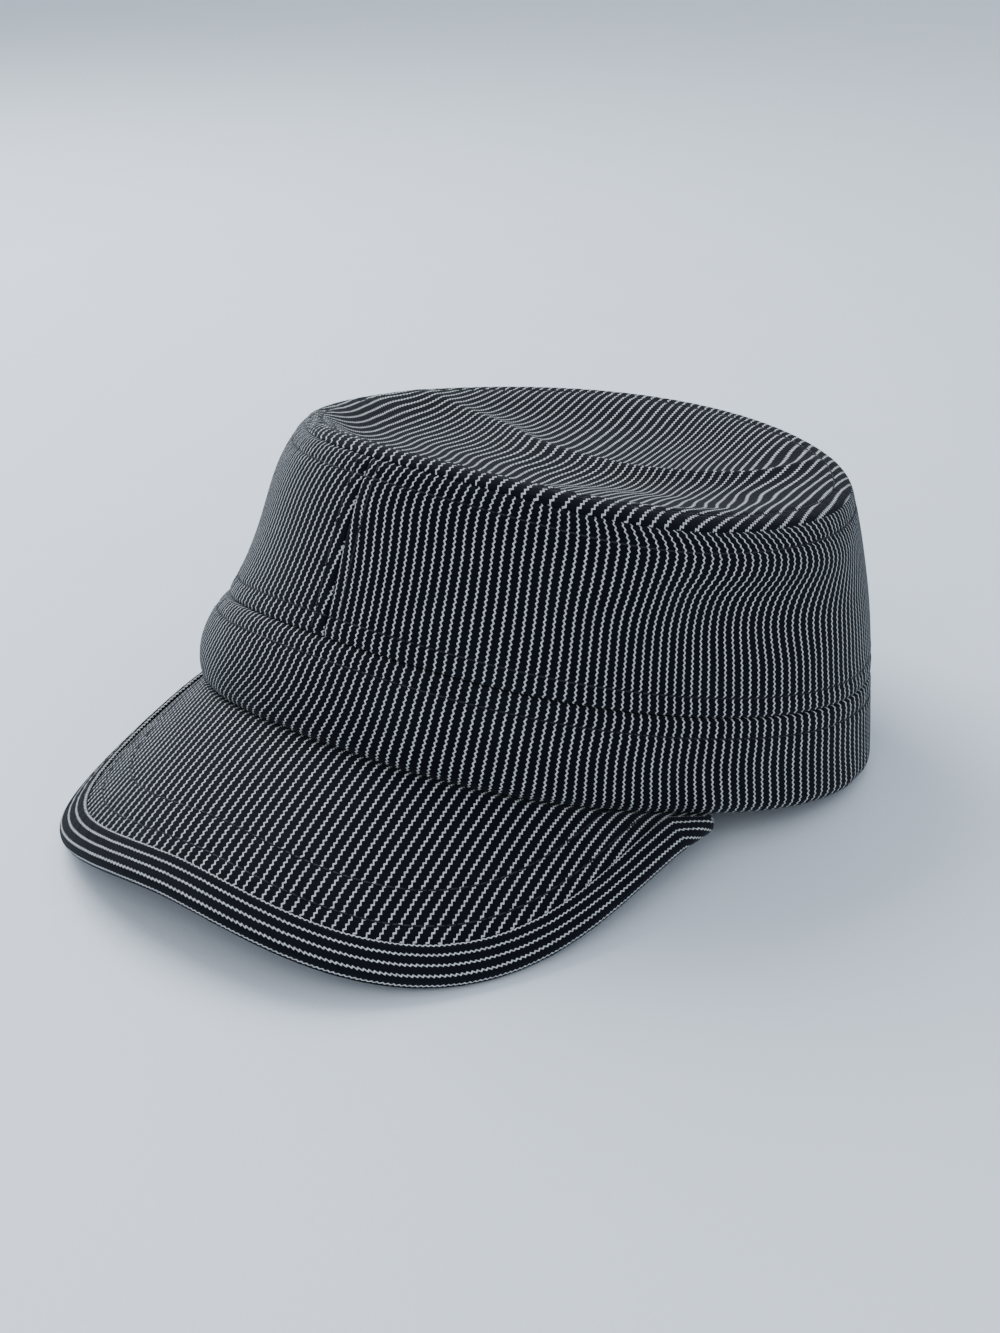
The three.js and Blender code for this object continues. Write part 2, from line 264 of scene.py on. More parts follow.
def put_in_mesh(name, points, corner_ids, starts, cloth=None, rub=None):
    """Points in millimetres, corners and face starts as arrays, into a smooth mesh
    object. A mesh whose volume comes out negative is turned outside out."""
    mesh = bpy.data.meshes.new(name)
    mesh.vertices.add(len(points))
    mesh.vertices.foreach_set("co", (points * MM).astype(np.float32).ravel())
    mesh.loops.add(len(corner_ids))
    mesh.loops.foreach_set("vertex_index", corner_ids.astype(np.int32))
    mesh.polygons.add(len(starts))
    mesh.polygons.foreach_set("loop_start", starts.astype(np.int32))
    mesh.update(calc_edges=True)
    if cloth is not None:
        layer = mesh.uv_layers.new(name="cloth")
        layer.data.foreach_set("uv", cloth.astype(np.float32).ravel())
    if rub is not None:
        worn = mesh.attributes.new("rub", "FLOAT", "CORNER")
        worn.data.foreach_set("value", rub.astype(np.float32))
    mesh.polygons.foreach_set("use_smooth", np.ones(len(starts), bool))
    if signed_volume(mesh) < 0:
        mesh.flip_normals()
    mesh.update()
    piece = bpy.data.objects.new(name, mesh)
    bpy.context.scene.collection.objects.link(piece)
    print(f"{name}: {len(mesh.polygons)} faces, {signed_volume(mesh) * 1e6:.1f} cm3")
    return piece


def signed_volume(mesh):
    """Volume by summing a sixth of a . (b x c) over the triangles."""
    mesh.calc_loop_triangles()
    corners = np.zeros(len(mesh.loop_triangles) * 3, np.int32)
    mesh.loop_triangles.foreach_get("vertices", corners)
    spots = np.zeros(len(mesh.vertices) * 3, np.float32)
    mesh.vertices.foreach_get("co", spots)
    a, b, c = spots.reshape(-1, 3)[corners.reshape(-1, 3)].astype(float).transpose(1, 0, 2)
    return float(np.sum(a * np.cross(b, c)) / 6)


# %% [markdown]
# ## Small relief on the cloth
#
# Sewn cloth is never smooth. A row of stitches draws it into a shallow groove with
# small puckers beside it, and the folded seam allowance behind makes a low ridge
# between seam and stitches. These are added along the surface normal, as sums of bell
# curves and of a few fixed sine waves whose lengths don't divide each other.

# %% Relief helpers
STITCH_INSET = 5.2  # topstitching runs this far from the seams
TURN_UNDER, TURN_UNDER_WIDTH = 0.5, 0.55
ALLOWANCE, ALLOWANCE_AT, ALLOWANCE_WIDTH = 0.12, 2.6, 1.7
GROOVE, GROOVE_WIDTH = 0.32, 0.6
SWELL_BEYOND, SWELL_BEYOND_AT, SWELL_BEYOND_WIDTH = 0.06, STITCH_INSET + 1.7, 1.1
PUCKER, PUCKER_AT, PUCKER_WIDTH = 0.1, STITCH_INSET - 1.2, 4.2
PUCKER_LENGTHS = (5.3, 7.9, 3.7)


def ripple(along, lengths, phase):
    """Sum of sine waves of the given lengths, scaled to about 1."""
    waves = [
        np.sin(2 * np.pi * along / length + phase * number)
        for number, length in enumerate(lengths, start=1)
    ]
    return sum(waves) / len(lengths)


def seam_relief(distance, along, phase):
    """Height of the cloth beside a seam, a sum of bell curves of the distance from it:
    it turns under at the seam, swells over its allowance, dips at the topstitching,
    swells again beyond it, and puckers a little around it."""
    under = -TURN_UNDER * bump(distance, 0, TURN_UNDER_WIDTH)
    allowance = ALLOWANCE * bump(distance, ALLOWANCE_AT, ALLOWANCE_WIDTH)
    groove = -GROOVE * bump(distance, STITCH_INSET, GROOVE_WIDTH)
    beyond = SWELL_BEYOND * bump(distance, SWELL_BEYOND_AT, SWELL_BEYOND_WIDTH)
    pucker = PUCKER * bump(distance, PUCKER_AT, PUCKER_WIDTH)
    return under + allowance + groove + beyond + pucker * ripple(along, PUCKER_LENGTHS, phase)


def resting_field(points, relief, wrap, outward):
    """Points moved along their normals by the relief, then laid down to rest."""
    return lay(points + grid_normals(points, wrap, outward) * relief[..., None])


# %% [markdown]
# ## The stripes on each piece
#
# Each piece is cut from the same cloth, so a stripe starts as an even step along the
# piece. Cutting askew, stretch and folds then carry the stripes sideways. That drift is a
# short table in millimetres. On the band and the walls it has a row for each angle from
# the front, in degrees, and a column for each height, as a share. On the crown top it
# has a row for each x and a column for each y. Smooth curves join rows and columns. Where
# the back and the far side of band and walls can't be seen, the drift fades to none.

# %% Stripe spacing, and the place of the first stripe
BAND_PITCH, BAND_START = 2.622, -0.62
WALL_PITCH, LEFT_START, RIGHT_START = 2.5, -0.65, 4.12
TIP_PITCH, TIP_START = 2.62, 1.37
PEAK_PITCH, PEAK_START, PEAK_SKEW = 2.757, -59.88, np.tan(np.radians(8.34))
BINDING_PITCH, BINDING_START = 2.62, 0.25

# %% Drift of the stripes on band and walls
BAND_DRIFT_HEIGHTS = (0, 0.5, 1)
BAND_DRIFT = {
    -180: (0, 0, 0),
    -120: (0, 0, 0),
    -75: (5, -2, -4),
    -40: (10.6, -3.1, -8.2),
    -20: (12.3, -1.3, -6.3),
    0: (6.3, -0.8, -3.5),
    20: (2.4, 0.1, -1.1),
    40: (1.5, 0.8, -0.7),
    60: (-0.8, 0.7, -1.5),
    80: (-2.6, 0.1, -1.9),
    100: (-2.5, -0.8, -2.2),
    115: (-6, -4.5, -5),
    150: (-2, -1, -1),
    180: (0, 0, 0),
}
LEFT_DRIFT_HEIGHTS = (0, 0.25, 0.5, 0.65, 0.8, 0.9, 1)
LEFT_DRIFT = {
    0: (-3.8, -4.3, -3.2, -1.7, -0.8, -1.5, -3.7),
    20: (-1.2, -0.9, -0.8, -0.5, 0.1, -0.1, -1.6),
    40: (0.5, -0.2, -0.5, -0.7, -1.1, -1.3, -1.7),
    60: (-0.2, 0.3, -0.1, -1.8, -3, -3.2, -1),
    80: (-0.4, 0.7, 1, -0.8, -5, -5.3, -2),
    95: (-0.4, 0.3, 0.4, -2.7, -7.3, -6.9, -3.4),
    110: (-0.5, 1.8, -0.6, -5.1, -9.1, -7.7, -7.4),
    140: (0, 0.5, 0, -1.5, -3, -3, -2),
    180: (0, 0, 0, 0, 0, 0, 0),
}
RIGHT_DRIFT_HEIGHTS = (0, 0.5, 0.8, 1)
RIGHT_DRIFT = {
    0: (-6.2, -0.9, 2.2, 5.9),
    20: (-6.3, 0.1, 3.5, 7.5),
    40: (-5.5, 0, 3.5, 6.5),
    80: (-3, 0, 2, 3),
    130: (0, 0, 0, 0),
    180: (0, 0, 0, 0),
}

# %% Drift of the stripes on the crown top
TIP_DRIFT_Y = (-60, -25, 0, 12, 24, 36, 60, 95)
TIP_DRIFT = {
    -60: (-20, -16, -10, -6, -4, -4, -2.5, 5),
    -30: (-22, -17, -10, -5, -5, -3.5, 1, 7),
    0: (-24, -18, -12.5, -10.5, -12, -8, -1, 6),
    20: (-24, -19, -14, -13, -11.5, -6.5, 3.5, 9),
    35: (-24, -20, -15.5, -12, -7, -4.5, 4, 9),
    48: (-26, -22, -15, -10.5, -6, -1.7, 0, 7),
    62: (-28, -21, -18, -13, -9.3, -6, -2, 5),
    78: (-28, -22, -17, -15, -12, -9.5, -1.5, 5),
}


# %% Smooth tables


def curve_through(knots, values, x):
    """A smooth curve through values at knots. Between two knots it is the cubic that has
    both values, and at each the mean slope of the lines to its neighbours."""
    knots, values = np.asarray(knots, float), np.asarray(values, float)
    slopes = np.gradient(values, knots, axis=0)
    i = np.clip(np.searchsorted(knots, x, side="right") - 1, 0, len(knots) - 2)
    step = np.diff(knots)[i]
    u = ((x - knots[i]) / step)[:, None]
    step = step[:, None]
    start = (2 * u**3 - 3 * u**2 + 1) * values[i] + (u**3 - 2 * u**2 + u) * step * slopes[i]
    end = (3 * u**2 - 2 * u**3) * values[i + 1] + (u**3 - u**2) * step * slopes[i + 1]
    return start + end


def drift(table, heights, angles, t):
    """Drift at each angle and height of a grid: the curve over the heights in every row
    of the table, and then the curve over the angles through those rows."""
    by_height = curve_through(heights, np.array(list(table.values())).T, t)
    return curve_through(list(table), by_height.T, np.degrees(angles))


def tip_drift(x, y):
    """Drift at any place on the crown top: the curve over y in every row of the table,
    weighted by that row's share at x, a curve through 1 at the row and 0 at the rest."""
    by_y = curve_through(TIP_DRIFT_Y, np.array(list(TIP_DRIFT.values())).T, y.ravel())
    share = curve_through(list(TIP_DRIFT), np.eye(len(TIP_DRIFT)), x.ravel())
    return np.sum(share * by_y, axis=1).reshape(x.shape)


def striped(across_mm, along_mm, start, pitch):
    """Cloth coordinates: stripe number from the first stripe's place, and millimetres."""
    return np.stack([(across_mm - start) / pitch, along_mm], axis=-1)


def with_closing_column(field, last_across=None):
    """Repeats the first column at the end, so that a wrapped pattern can run on."""
    closed = np.concatenate([field, field[:1]], axis=0)
    if last_across is not None:
        closed[-1, :, 0] = last_across
    return closed


# %% [markdown]
# ## The head band
#
# A folded strip round the head. Its outer face bellies between seam and hem, and the
# hem rolls under. It is a profile carried round the plan: radius and height are both
# functions of the angle and of how far up the band a point is.

# %% Head band
BAND_COLUMNS, BAND_ROWS, BAND_CROWDING = 640, 44, 1.15  # rows crowd towards the hem
BAND_WAVE, BAND_WAVE_LENGTHS = 0.35, (47, 31, 83)
HEM_WAVE, HEM_WAVE_LENGTHS, HEM_WAVE_AT, HEM_WAVE_WIDTH = 0.22, (17, 11, 23), 3, 5
RING_STEPS = 1440


def band_form(angle, t):
    """Radius and height: straight from hem to seam, with a belly of 4 t (1 - t)."""
    radius = mix(band_radius(angle), seam_radius(angle), t) + band_belly(angle) * swell(t)
    return radius, mix(edge_height(HEM_EDGE, angle), edge_height(BAND_SEAM, angle), t)


def band_face(angle, t):
    """The outer face. The last 14 hundredths at the hem curl in by the square of how
    close they are to it."""
    radius, z = band_form(angle, t)
    roll = np.maximum(0, 1 - t / HEM_ROLL_HEIGHT)
    return ring_point(angle, radius - HEM_ROLL_DEPTH * roll**2, z)


def band_back(angle, t):
    """The inner face: moved in by the roll and the folded cloth."""
    radius, z = band_form(angle, t)
    return ring_point(angle, radius - HEM_ROLL_DEPTH - BAND_CLOTH, z)


def round_the_head(columns):
    """Angles of a closed ring from the back, one column short of a whole turn."""
    return np.linspace(-np.pi, np.pi, columns, endpoint=False)


rows_up = np.linspace(0, 1, BAND_ROWS) ** BAND_CROWDING
angle, t = np.meshgrid(round_the_head(BAND_COLUMNS), rows_up, indexing="ij")
band_flat = band_face(angle, t)
outward = ring_point(angle, 1, 0)
whole_ring = np.linspace(-np.pi, np.pi, RING_STEPS + 1)
mid_band = band_face(whole_ring, np.full(RING_STEPS + 1, 0.5))
mid_band_arc = arc_along(mid_band[:, None], 0)[:, 0]
mid_band_arc -= mid_band_arc[RING_STEPS // 2]  # from the centre front
around_mm = np.interp(angle, whole_ring, mid_band_arc)
up_mm = arc_along(band_flat, 1)
band_height = up_mm[:, -1:]
print("band round the outside, at mid-height:", round(float(np.ptp(mid_band_arc))), "mm")

# %% Head band, finished
relief = seam_relief(band_height - up_mm, around_mm, 0.7)
relief += BAND_WAVE * ripple(around_mm, BAND_WAVE_LENGTHS, 1.1) * swell(t)
hem_wave = HEM_WAVE * ripple(around_mm, HEM_WAVE_LENGTHS, 2.3)
relief += hem_wave * bump(up_mm, HEM_WAVE_AT, HEM_WAVE_WIDTH)
band_outer = resting_field(band_flat, relief, True, outward)
band_inner = lay(band_back(angle, t))
band_across = around_mm + drift(BAND_DRIFT, BAND_DRIFT_HEIGHTS, angle[:, 0], t[0])
whole_turn = (mid_band_arc[-1] - BAND_START) / BAND_PITCH
band_cloth = striped(band_across, up_mm, BAND_START, BAND_PITCH)
band_cloth = with_closing_column(band_cloth, whole_turn)
band_rub = bump(up_mm, 0.8, 1.6) + 0.5 * bump(band_height - up_mm, 1.2, 1.0)
band_rub = with_closing_column(band_rub)
band = sewn_piece("band", band_outer, band_inner, band_cloth, band_rub, wrap=True)
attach(band, "root")
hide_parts("head_band")

# %% [markdown]
# ## The two wall panels
#
# The wall tapers from the band's seam to the rim. Each half is its own panel, so the
# stripes can lean to the front seam from both sides. Soft cloth also falls in slow
# waves, which are strongest where the crown sags at the wearer's left.

# %% Wall panels
WALL_COLUMNS, WALL_ROWS = 420, 76
SIDE_SEAM_INSET = 3.6
SIDE_SEAM_RADIUS = 75  # turns the gap of a side seam into an angle
SIDE_TURN, SIDE_TURN_WIDTH, SIDE_GROOVE, SIDE_GROOVE_WIDTH = 0.45, 0.6, 0.1, 0.5
SIDE_SWELL, SIDE_SWELL_AT, SIDE_SWELL_WIDTH = 0.08, 1.8, 1.3

# height, angle and its width in degrees, place and its width in shares of the height
WALL_FOLDS = (
    (-1.7, 92, 22, 0.58, 0.16),
    (1.3, 88, 26, 0.84, 0.13),
    (-1.2, 262, 26, 0.55, 0.22),
    (0.8, 216, 18, 0.7, 0.2),
)


def wall_face(angle, t, depth=0.0):
    """Radius and height run from the band's seam to the rim, with a small belly."""
    low = edge_height(BAND_SEAM, angle) + SEAM_GAP
    high = edge_height(RIM_SEAM, angle) - SEAM_GAP / 2
    belly = wall_belly(angle) * swell(t) + wall_shoulder(angle) * high_swell(t)
    radius = mix(seam_radius(angle), rim_radius(angle), t) + belly
    return ring_point(angle, radius - depth, mix(low, high, t))


def wall_waves(angle, t):
    """Slow folds: dents and bulges as products of two bell curves, upright pleats as a
    sine of 11 times the angle, and long shallow waves of 3 and 7 round the head."""
    degrees = np.degrees(angle)
    folds = sum(
        height * bump(degrees, at, width) * bump(t, up, tall)
        for height, at, width, up, tall in WALL_FOLDS
    )
    upright = 0.5 * np.sin(11 * angle) * bump(degrees, 112, 22) * swell(t)
    slow = 0.45 * np.sin(3 * angle + 1.3) * np.sin(np.pi * t)
    return folds + upright + slow + 0.3 * np.sin(7 * angle + 2.1) * swell(t)


def side_seam_relief(distance):
    """Beside a front or back seam the cloth turns under, swells and dips at its row of
    stitches, each as a bell curve of the distance."""
    under = SIDE_TURN * bump(distance, 0, SIDE_TURN_WIDTH)
    groove = SIDE_GROOVE * bump(distance, SIDE_SEAM_INSET, SIDE_GROOVE_WIDTH)
    return SIDE_SWELL * bump(distance, SIDE_SWELL_AT, SIDE_SWELL_WIDTH) - under - groove


def wall_panel(name, node, first, last, table, heights, start):
    """One half of the wall, from the front seam to the back one or the other way.
    Stripes are counted from the front seam, by the arc at mid-height."""
    seam_turn = SEAM_GAP / 2 / SIDE_SEAM_RADIUS
    turns = np.linspace(first + seam_turn, last - seam_turn, WALL_COLUMNS)
    angle, t = np.meshgrid(turns, np.linspace(0, 1, WALL_ROWS), indexing="ij")
    flat = wall_face(angle, t)
    ring = wall_face(turns, np.full(WALL_COLUMNS, 0.5))
    ring_arc = arc_along(ring[:, None], 0)[:, 0]
    length = ring_arc[-1]
    starts_in_front = first == 0
    from_front = ring_arc if starts_in_front else length - ring_arc
    from_front = from_front[:, None] + 0 * t
    from_front_angle = turns if starts_in_front else 2 * np.pi - turns
    up = arc_along(flat, 1)
    height = up[:, -1:]
    folds = wall_waves(angle, t)
    relief = seam_relief(up, from_front, 1.9) + seam_relief(height - up, from_front, 2.7)
    relief += side_seam_relief(from_front) + side_seam_relief(length - from_front) + folds
    out_dirs = ring_point(angle, 1, 0)
    outer = resting_field(flat, relief, False, out_dirs)
    inner = resting_field(wall_face(angle, t, CROWN_CLOTH), folds, False, out_dirs)
    across = from_front + drift(table, heights, from_front_angle, t[0])
    cloth = striped(across, up, start, WALL_PITCH)
    rub = bump(height - up, 0.9, 0.9) + 0.5 * bump(up, 0.9, 0.9)
    rub += 0.6 * bump(from_front, 0.8, 0.8)
    piece = sewn_piece(name, outer, inner, cloth, rub)
    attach(piece, "root")
    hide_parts(node)
    return piece, outer, up, from_front


# %% Both wall panels
left_panel, left_outer, left_up, left_front = wall_panel(
    "wall_panel_left", "wall_left", 0, np.pi, LEFT_DRIFT, LEFT_DRIFT_HEIGHTS, LEFT_START
)
right_panel, right_outer, right_up, right_front = wall_panel(
    "wall_panel_right", "wall_right", np.pi, 2 * np.pi,
    RIGHT_DRIFT, RIGHT_DRIFT_HEIGHTS, RIGHT_START,
)

# %% [markdown]
# ## The crown top
#
# A flat piece of cloth, held up by its seam all round and by nothing in the middle, so
# it dishes. A soft ridge crosses it from side to side where the cloth was folded. It is
# a height over a disc: rings shrink from the rim to a pole, and the height is the
# rim's own, less a dish, plus the ridge and the rounded lip.

# %% Crown top
TIP_COLUMNS, TIP_ROWS = 600, 78
TIP_LAST_RING, TIP_CROWDING = 0.985, 1.25  # rows crowd towards the rim
TIP_MIDDLE, LIP_AT, LIP_FADE = 75, 0.9, 0.12
DISH_DEPTH, DISH_SLACK, DISH_SLACK_WIDTH = 10, 0.5, 15
DISH_NEAR, DISH_NEAR_POWER = np.radians(20), 1.1
SIDE_LIFT, SIDE_LIFT_AT, SIDE_LIFT_WIDTH = 0.9, np.radians(80), np.radians(38)
RIDGE_HEIGHT, RIDGE_WIDTH, RIDGE_SOFT = 5.5, 9, 1.5
RIDGE_AT, RIDGE_BEND_FROM, RIDGE_BEND = 27, 10, 0.022
RIDGE_STEP, RIDGE_STEP_X, RIDGE_STEP_WIDTH = 7, -28, 14


def tip_height(x, y, share, angle):
    """Rim height fading to the middle's, less the dish, which is full over most of the
    disc and 0 at the rim, with a ridge that falls away on both sides of its crest.
    In front the dish falls evenly to the middle, and behind it falls close to the rim;
    towards the wearer's left it is held up by a bell curve of the angle."""
    base = TIP_MIDDLE + (edge_height(RIM_SEAM, angle) - TIP_MIDDLE) * share**2
    crest = RIDGE_AT + RIDGE_BEND * np.maximum(0, x - RIDGE_BEND_FROM) ** 2
    crest = crest + RIDGE_STEP * (1 - np.tanh((x - RIDGE_STEP_X) / RIDGE_STEP_WIDTH))
    off = y - crest
    ridge = RIDGE_HEIGHT * np.exp(-(np.hypot(off, RIDGE_SOFT) - RIDGE_SOFT) / RIDGE_WIDTH)
    held = SIDE_LIFT * share * bump(angle, SIDE_LIFT_AT, SIDE_LIFT_WIDTH)
    dish = (DISH_DEPTH - DISH_SLACK * np.tanh(off / DISH_SLACK_WIDTH)) * (1 - held) - ridge
    near = 0.5 + 0.5 * np.cos(angle - DISH_NEAR)
    return base - (1 - mix(share**3, share**DISH_NEAR_POWER, near)) * dish


def tip_lip(angle, share):
    """The rounded lip: a parabola from its crest out to the seam, a bell curve inward."""
    outside = 1 - ((share - LIP_AT) / (1 - LIP_AT)) ** 2
    inside = np.exp(-(((share - LIP_AT) / LIP_FADE) ** 2))
    return lip_rise(angle) * np.where(share > LIP_AT, outside, inside)


def tip_face(angle, share, inner=False):
    """Point on the crown top at an angle and a share of the way out to the rim."""
    radius = (rim_radius(angle) - (CROWN_CLOTH if inner else 0)) * share
    spot = ring_point(angle, radius, 0 * share)
    lip = tip_lip(angle, share)
    if inner:
        thin = lip * (1 - CROWN_CLOTH / lip_rise(angle))
        lip = np.where(share > LIP_AT, thin, lip - CROWN_CLOTH)
    height = tip_height(spot[..., 0], spot[..., 1], share, angle)
    spot[..., 2] = height + SEAM_GAP / 2 + lip
    return spot


# %% Crown top, finished
tip_shares = 1 - np.linspace(0, TIP_LAST_RING, TIP_ROWS) ** TIP_CROWDING
angle, share = np.meshgrid(round_the_head(TIP_COLUMNS), tip_shares, indexing="ij")
tip_flat = tip_face(angle, share)
from_rim = (1 - share) * rim_radius(angle)
rim_steps = np.diff(with_closing_column(tip_flat[:, :1]), axis=0)
tip_around = np.cumsum(np.linalg.norm(rim_steps, axis=-1), axis=0) + 0 * share
upward = np.zeros_like(tip_flat)
upward[..., 2] = 1
relief = seam_relief(from_rim, tip_around, 0.4)
tip_outer = resting_field(tip_flat, relief, True, upward)
tip_inner = lay(tip_face(angle, share, inner=True))
tip_x, tip_y = tip_flat[..., 0], tip_flat[..., 1]
tip_cloth = striped(tip_x + tip_drift(tip_x, tip_y), tip_y, TIP_START, TIP_PITCH)
tip_cloth = with_closing_column(tip_cloth)
tip_rub = with_closing_column(0.8 * bump(from_rim, 1.2, 1.4))
crown = sewn_piece(
    "crown_top", tip_outer, tip_inner, tip_cloth, tip_rub, wrap=True, pole=True
)
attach(crown, "root")
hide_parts("crown_tip")

# %% [markdown]
# ## The peak
#
# A stiff board in cloth. It arches across, as part of a cylinder, and slopes down to
# the front; its outline is a full oval, which runs straight back at the wearer's left.
# It starts under the hem, at the hem's height, and eases to its own arch over a
# finger's width.

# %% Peak
PEAK_COLUMNS, PEAK_ROWS, PEAK_CROWDING = 460, 60, 0.85  # rows crowd towards the edge
PEAK_DIP = np.radians(29.8)
PEAK_SLOPE, PEAK_ARCH_RADIUS, PEAK_DROOP = np.tan(PEAK_DIP), 82, 0.0007
PEAK_ORIGIN_Y, PEAK_ORIGIN_Z = -46.5, 29.6
PEAK_HALF_WIDTH, PEAK_LENGTH, PEAK_SQUARENESS = 82.4, 95.2, 2.45
PEAK_FROM, PEAK_TO = np.radians(-21), np.radians(187)
PEAK_WIDEST_Y, PEAK_TUCK, PEAK_TAIL, TAIL_TUCK = -32.8, 14, 44, 1.5
PEAK_INSET, SEAT_FADE = 2.2, 24
HALF_BOARD = PEAK_BOARD / 2


def arch_height(x, y):
    """Height of the arch: a slope with a small droop forward, less x squared over
    twice the arch's radius."""
    forward = PEAK_ORIGIN_Y - y
    fall = forward * PEAK_SLOPE + PEAK_DROOP * forward**2
    return PEAK_ORIGIN_Z - fall - x**2 / (2 * PEAK_ARCH_RADIUS)


def peak_outline(turn):
    """A full oval: cosine and sine to the power 2 / squareness, with their signs.
    Behind its widest line it tucks in on the right. On the left it runs straight on and
    tucks in only at its very end, by the fifth power of the way there."""
    power = 2 / PEAK_SQUARENESS
    along = np.abs(np.cos(turn)) ** power * np.sign(np.cos(turn))
    out = np.abs(np.sin(turn)) ** power
    tail = (np.sin(turn) < 0) & (np.cos(turn) > 0)
    reach = np.where(np.sin(turn) > 0, -PEAK_LENGTH, np.where(tail, PEAK_TAIL, PEAK_TUCK))
    way = out / np.abs(np.sin(PEAK_FROM)) ** power
    side = np.where(tail, PEAK_HALF_WIDTH - TAIL_TUCK * way**5, PEAK_HALF_WIDTH * along)
    return side, PEAK_WIDEST_Y + reach * out


# %% Peak, its top face and its edge


def peak_top(s, t):
    """Top face of the board: straight from hem to outline in plan. Beyond the hem its
    height eases, by the square of the way left, from the hem's to the arch's."""
    rim_x, rim_y = peak_outline(mix(PEAK_FROM, PEAK_TO, s))
    angle = np.arctan2(rim_x, -rim_y)
    root = band_radius(angle) - HEM_ROLL_DEPTH - PEAK_INSET
    x = mix(root * np.sin(angle), rim_x, t)
    y = mix(-root * np.cos(angle), rim_y, t)
    hem_x, hem_y = band_radius(angle) * np.sin(angle), -band_radius(angle) * np.cos(angle)
    hem_z = edge_height(HEM_EDGE, angle) - SEAM_GAP
    beyond = np.hypot(x, y) - band_radius(angle)
    fade = np.clip(1 - beyond / SEAT_FADE, 0, 1) ** 2
    z = arch_height(x, y) + fade * (hem_z - arch_height(hem_x, hem_y))
    return np.stack([x, y, np.where(beyond > 0, z, hem_z)], axis=-1)


def peak_rim(s):
    """Where the board's top ends: its outline."""
    return peak_top(s, 1.0 + 0 * s)


def edge_frame(s, t):
    """Unit directions at a place on the board: out towards the edge, and up."""
    step = 0.001
    along = peak_top(s + step, t) - peak_top(s - step, t)
    out = peak_top(s, t) - peak_top(s, t - step)
    up = np.cross(out, along)
    up /= np.linalg.norm(up, axis=-1, keepdims=True)
    up *= np.sign(up[..., 2:])
    out -= along * (np.sum(out * along, -1) / np.sum(along * along, -1))[..., None]
    return out / np.linalg.norm(out, axis=-1, keepdims=True), up


def peak_depth(s):
    """Length of the board from its root under the hem to its edge."""
    return np.linalg.norm(peak_rim(s) - peak_top(s, 0 * s), axis=-1)


# %% Peak, top and underside
PEAK_STITCH_ROWS = (11.5, 20.5)  # rows of stitches, this far in from the edge
PEAK_GROOVE, PEAK_GROOVE_WIDTH = 0.2, 0.6
PEAK_WAVE, PEAK_WAVE_LENGTHS, PEAK_WAVE_AT, PEAK_WAVE_WIDTH = 0.12, (9.1, 14.3, 21), 8, 9
rows_out = np.linspace(0, 1, PEAK_ROWS) ** PEAK_CROWDING
s, t = np.meshgrid(np.linspace(0, 1, PEAK_COLUMNS), rows_out, indexing="ij")
_, up = edge_frame(s, np.maximum(t, 0.01))
peak_flat = peak_top(s, t)
from_edge = (1 - t) * peak_depth(s)
grooves = sum(bump(from_edge, row, PEAK_GROOVE_WIDTH) for row in PEAK_STITCH_ROWS)
peak_wave = PEAK_WAVE * ripple(peak_flat[..., 0], PEAK_WAVE_LENGTHS, 0.8)
relief = peak_wave * bump(from_edge, PEAK_WAVE_AT, PEAK_WAVE_WIDTH) - PEAK_GROOVE * grooves
peak_upper = peak_flat + up * relief[..., None]
peak_lower = peak_flat - up * PEAK_BOARD


# %% Peak, with its edge rounded over
ROUNDING = (65, 40, 15)  # degrees above and below the edge's middle
ARCH_EASE = 0.72  # how much of the arch's own arc the cloth follows across


def round_over(degrees, side):
    """A row on the board's rounded edge: from its middle, half the board's thickness
    times the cosine outwards and the sine up or down."""
    s_edge = np.linspace(0, 1, PEAK_COLUMNS)
    out, up = edge_frame(s_edge, 1.0 + 0 * s_edge)
    turn = np.radians(degrees) * side
    middle = peak_rim(s_edge) - up * HALF_BOARD
    return middle + HALF_BOARD * (up * np.sin(turn) + out * np.cos(turn))


rounded_up = [round_over(degrees, 1)[:, None] for degrees in ROUNDING]
rounded_down = [round_over(degrees, -1)[:, None] for degrees in ROUNDING]
peak_outer = np.concatenate([peak_upper, *rounded_up], axis=1)
peak_inner = np.concatenate([peak_lower, *rounded_down], axis=1)
ease_radius = PEAK_ARCH_RADIUS / ARCH_EASE
across_arch = ease_radius * np.arcsin(peak_outer[..., 0] / ease_radius)
forward_mm = (PEAK_ORIGIN_Y - peak_outer[..., 1]) / np.cos(PEAK_DIP)
peak_cloth = striped(across_arch - forward_mm * PEAK_SKEW, forward_mm, PEAK_START, PEAK_PITCH)
peak_rub = np.zeros(peak_outer.shape[:2])
peak_board = sewn_piece("peak_board", lay(peak_outer), lay(peak_inner), peak_cloth, peak_rub)
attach(peak_board, "root")
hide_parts("peak")

# %% [markdown]
# ## The binding of the peak
#
# A strip of the same cloth, cut along its stripes and folded round the edge, so that
# the stripes run like rails beside the edge. It is a section, flat over the top, a
# half circle round the edge and flat underneath, carried along the peak's outline.

# %% Peak binding
BINDING_COLUMNS, BINDING_ROWS = 620, 60
BINDING_WIDTH, BINDING_CLEAR = 6.8, 1.0
BINDING_FROM, BINDING_TO = np.radians(-16.6), np.radians(182)
ARC_SHARE = 0.36
FOLD_IN, FOLD_IN_WIDTH = 0.55, 0.6
PULL, PULL_LENGTHS, PULL_AT, PULL_WIDTH = 0.1, (6.1, 9.7, 4.3), 3, 4


def binding_reach(s):
    """How far back the strip reaches, as a share of the board's depth, kept clear of
    the hem where the board comes out from under it."""
    rim = peak_rim(s)
    angle = np.arctan2(rim[..., 0], -rim[..., 1])
    clear = np.hypot(rim[..., 0], rim[..., 1]) - band_radius(angle) - BINDING_CLEAR
    return np.minimum(BINDING_WIDTH, clear) / peak_depth(s)


